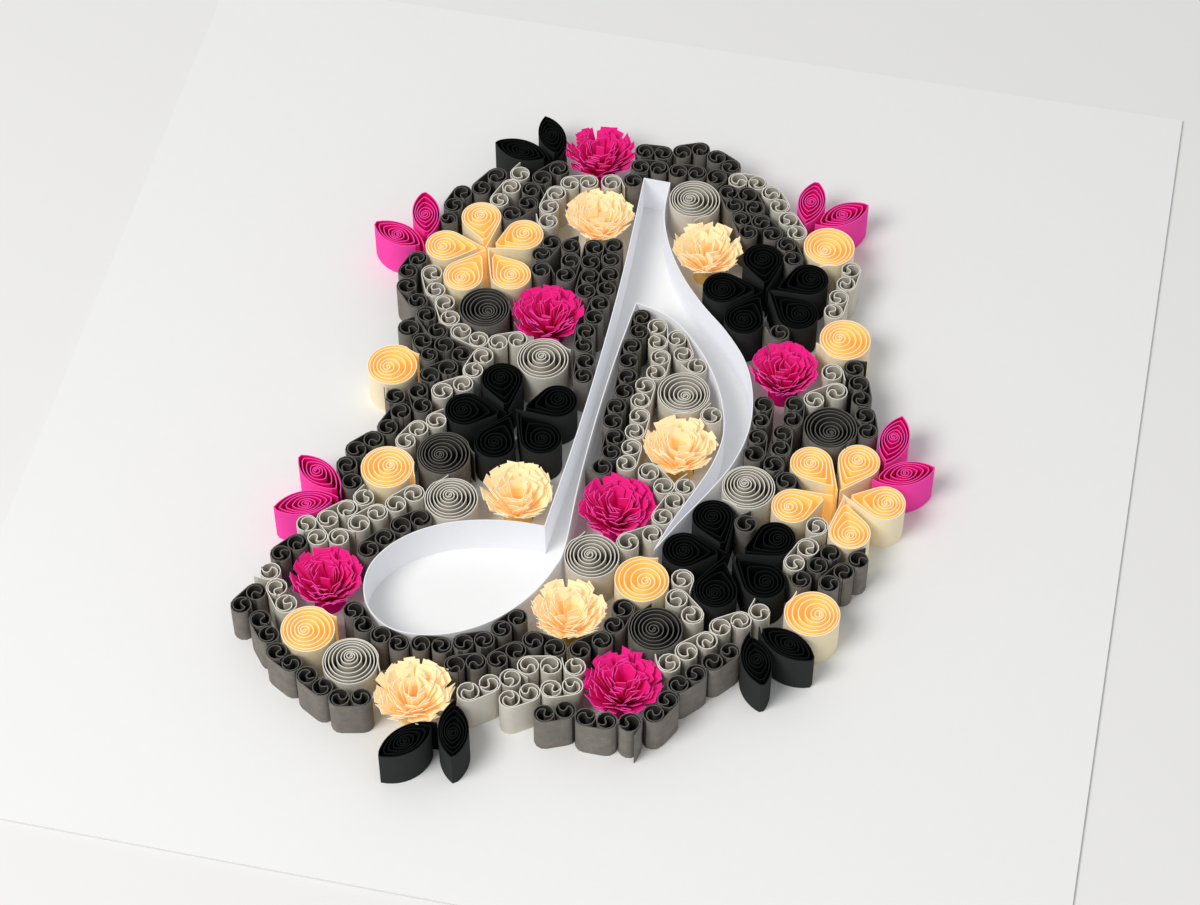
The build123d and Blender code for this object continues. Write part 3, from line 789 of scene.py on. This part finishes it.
# %% Where the tabs of a fringe stand
# Lengths are in millimetres, leans in degrees, twists in radians
TURN_PAPER = 0.07
FOOT_RADIUS, NEEDLE_HOLE = 2.6, 0.9
TAB_LENGTH, HEART_LENGTH, UNEVEN_LENGTH = 8.4, 0.88, (0.95, 1.02)
LEAN_OUTSIDE, LEAN_POWER, LOOSE_HEART, UNEVEN_LEAN = 51, 1.3, 14, 1.2
LOOSE_TWIST = 0.6
# Waves: size, crests round the flower, and shift from its middle to its rim
LEAN_WAVES = [(4.5, 3, 8), (4, 5, -13)]
TWIST_WAVES = [(0.30, 4, 10), (0.22, 7, -16)]
GATHER_WAVE = (0.09, 7, 4)


def wave(size, round_about, outwards, place, share):
    """A wave of some size: so many crests round the flower, shifted from its middle outwards."""
    return size * np.sin(round_about * place + outwards * share + rng.uniform(0, 2 * math.pi))


def tab_places(reach, width):
    """For each tab of a fringe: radius where it starts, direction, twist, length and lean.

    A tab at a length s along the strip stands at the radius where the turns so far fill a ring
    about the needle's hole: the root of the hole squared plus s times the paper over pi. It has
    gone round by 2 pi radius over the paper.
    It leans out more the farther it stands from the axis, but doesn't go past `reach`. Waves add
    to the lean, turn the tab about its own length and draw tabs together.
    """
    count = round(math.pi * (FOOT_RADIUS**2 - NEEDLE_HOLE**2) / TURN_PAPER / width)
    start = np.sqrt(NEEDLE_HOLE**2 + (np.arange(count) + 0.5) * width * TURN_PAPER / math.pi)
    place, share = 2 * math.pi * start / TURN_PAPER, start / FOOT_RADIUS
    lean_wave = sum(wave(*shape, place, share) for shape in LEAN_WAVES)
    twist = sum(wave(*shape, place, share) for shape in TWIST_WAVES)
    twist = twist + rng.normal(0, LOOSE_TWIST, count) * (1 - share)
    place = place + wave(*GATHER_WAVE, place, share)
    lean = LEAN_OUTSIDE * share**LEAN_POWER + lean_wave * share
    lean = lean + rng.normal(0, 1, count) * LOOSE_HEART * (1 - share)
    long = TAB_LENGTH * (HEART_LENGTH + (1 - HEART_LENGTH) * share)
    long = long * rng.uniform(*UNEVEN_LENGTH, count)
    lean = np.radians(lean + rng.normal(0, UNEVEN_LEAN, count))
    lean = np.minimum(lean, np.arcsin(np.minimum((reach - start) / long, 1)))
    return start, place, twist, long, lean


print("a fringe is rolled up in", round((FOOT_RADIUS - NEEDLE_HOLE) / TURN_PAPER), "turns")

# %% [markdown]
# With its place, twist and lean, a tab is a strip of four points that bends near its foot. More
# points wouldn't show, and a flower has over a hundred tabs. They stand on the foot, a tight
# spiral that is seen only from the side.

# %% Fringe, foot and flowers
TAB_POINTS, TAB_HALF_PAPER = 4, PAPER / 3
LEAN_AT_FOOT = 0.85
UNEVEN_WIDTH = (0.90, 1.0)
# Strength of the painted glow on the tabs, for light that comes through them
THROUGH_TABS = 0.55
UPRIGHT = np.array([0.0, 0.0, 1.0])
FOOT_HEIGHT, FOOT_MORE = 3.5, 0.8
FOOT_STEPS, FOOT_TURNS, FOOT_WALL = 90, 3, 1.2
FRINGE_MORE, NOTE_ROOM = 0.3, 2 * PAPER
# Width of a tab, and how much less painted shade its tip has than its foot
TABS = {"magenta": (2.1, 0.22), "peach": (2.5, 0.72)}


def fringe(centre, reach, width, tip_shade_loss):
    """Bundle for the tabs of a fringed roll. A tab's points are sums of short steps: the sine of
    its lean goes to the distance from the axis, and the cosine to the height."""
    start, place, twist, long, lean_full = tab_places(reach, width)
    way = np.linspace(0, 1, TAB_POINTS)
    lean = lean_full[:, None] * (LEAN_AT_FOOT + (1 - LEAN_AT_FOOT) * np.minimum(2 * way, 1))
    step = long[:, None] / (TAB_POINTS - 1)
    ahead = np.concatenate([0 * start[:, None], (lean[:, 1:] + lean[:, :-1]) / 2], axis=1)
    out = start[:, None] + np.cumsum(step * np.sin(ahead) * (way > 0), axis=1)
    rise = CARD_TOP + FOOT_HEIGHT + np.cumsum(step * np.cos(ahead) * (way > 0), axis=1)
    across_way = place + math.pi / 2 + twist
    radial = np.stack([np.cos(place), np.sin(place), 0 * place], axis=-1)[:, None]
    across = np.stack([np.cos(across_way), np.sin(across_way), 0 * place], axis=-1)[:, None]
    axis = np.array([centre.real, centre.imag, 0.0])
    middle = axis + out[..., None] * radial + rise[..., None] * UPRIGHT
    along = np.sin(lean)[..., None] * radial + np.cos(lean)[..., None] * UPRIGHT
    off = np.cross(np.broadcast_to(across, along.shape), along) * TAB_HALF_PAPER
    side = across * (width / 2) * rng.uniform(*UNEVEN_WIDTH, len(start))[:, None, None]
    edges = [middle + off - side, middle + off + side, middle - off + side, middle - off - side]
    # Painted shade on a tab, strongest at its foot and less towards its tip
    painted_shade = (1 - tip_shade_loss * way[1:] ** 2)[None, :, None]
    return np.stack(edges, axis=2), painted_shade, THROUGH_TABS


def foot(centre):
    """Bundle for the tight roll under the fringe: an even spiral from its outside inwards."""
    way = np.linspace(0, 1, FOOT_STEPS)
    radius = FOOT_RADIUS + FOOT_MORE - FOOT_WALL * way
    line = centre + radius * np.exp(2j * math.pi * FOOT_TURNS * way)
    # The whole foot is painted with the shade colour of insides
    return strip_corners(line[None], CARD_TOP, CARD_TOP + FOOT_HEIGHT + FOOT_MORE), 1.0, 0.0


for node in sorted(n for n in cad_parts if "fringed" in n):
    low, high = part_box(node)
    centre = complex((low.x + high.x) / 2, (low.y + high.y) / 2) / MM
    to_note = off_strips(np.array([[centre]]), walls[:1]).item()
    reach = min((high.x - low.x) / 2 / MM + FRINGE_MORE, to_note - NOTE_ROOM)
    tabs = fringe(centre, reach, *TABS[node.split("_")[0]])
    stand(node, [tabs, foot(centre)])
print("last flower has", len(tabs[0]), "tabs")

# %% [markdown]
# ## Table, light and camera
# The card lies on a pale table. One plane is enough for it, because little more than its colour
# shows.

# %% Table
TABLE = (0.84, 0.835, 0.825)
TABLE_SIZE, TABLE_HEIGHT = 6.0, -0.0003
bpy.ops.mesh.primitive_plane_add(size=TABLE_SIZE, location=(0, 0, TABLE_HEIGHT))
table = bpy.context.object
table.name = "table"
table.data.materials.append(paper("table_top", TABLE, TABLE, TABLE, cloud=0.01, bump=0.0))
table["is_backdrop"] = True
print("table of", TABLE_SIZE, "m")

# %% [markdown]
# The light is soft and comes from the left. A sun lamp would cut hard shadows between the turns.
# A wide disc, like a window, gives the gentle shadows on the right of each piece, and an even sky
# fills the gaps between the strips.

# %% Light
SKY_COLOUR, SKY_STRENGTH = (0.97, 0.985, 1.0, 1), 0.52
WINDOW_COLOUR, WINDOW_ENERGY, WINDOW_SIZE = (1.0, 0.985, 0.96), 9.2, 0.6
WINDOW_PLACE = Vector((-0.45, -0.60, 0.95))
world = bpy.data.worlds.new("even_sky")
bpy.context.scene.world = world
world.use_nodes = True
world.node_tree.nodes["Background"].inputs["Color"].default_value = SKY_COLOUR
world.node_tree.nodes["Background"].inputs["Strength"].default_value = SKY_STRENGTH
window = bpy.data.lights.new("window", "AREA")
window.shape = "DISK"
window.size = WINDOW_SIZE
window.energy = WINDOW_ENERGY
window.color = WINDOW_COLOUR
window_lamp = bpy.data.objects.new("window_lamp", window)
window_lamp.location = WINDOW_PLACE
window_lamp.rotation_euler = WINDOW_PLACE.to_track_quat("Z", "Y").to_euler()
bpy.context.scene.collection.objects.link(window_lamp)
print("window lamp", round(WINDOW_PLACE.length, 2), "m away")

# %% [markdown]
# The camera looks down on the picture from the front, as someone at the table would. Two angles,
# a distance and a point to aim at are easier to adjust than a place and a rotation.

# %% Camera
AZIMUTH, ELEVATION = math.radians(12.103), math.radians(51.896)
AIM, DISTANCE = Vector((3.37, -5.63, 0.4)) * MM, 0.70668
SENSOR_WIDTH, FOCAL_LENGTH, CLIP_START = 36.0, 95.28, 0.01
back = Vector((math.sin(AZIMUTH) * math.cos(ELEVATION), -math.cos(AZIMUTH) * math.cos(ELEVATION),
               math.sin(ELEVATION)))
lens_data = bpy.data.cameras.new("camera")
lens_data.sensor_width = SENSOR_WIDTH
lens_data.lens = FOCAL_LENGTH
lens_data.clip_start = CLIP_START
camera = bpy.data.objects.new("camera", lens_data)
camera.location = AIM + DISTANCE * back
camera.rotation_mode = "QUATERNION"
camera.rotation_quaternion = (-back).to_track_quat("-Z", "Y")
bpy.context.scene.collection.objects.link(camera)
bpy.context.scene.camera = camera
bpy.context.scene.view_settings.view_transform = "Standard"
print("camera", DISTANCE, "m away, with a lens of", FOCAL_LENGTH, "mm")

# %% [markdown]
# Last, the size of the dressed picture is printed.

# %% Size of the picture
low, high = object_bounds()
print("the picture measures", [round(length / MM, 1) for length in high - low], "mm")
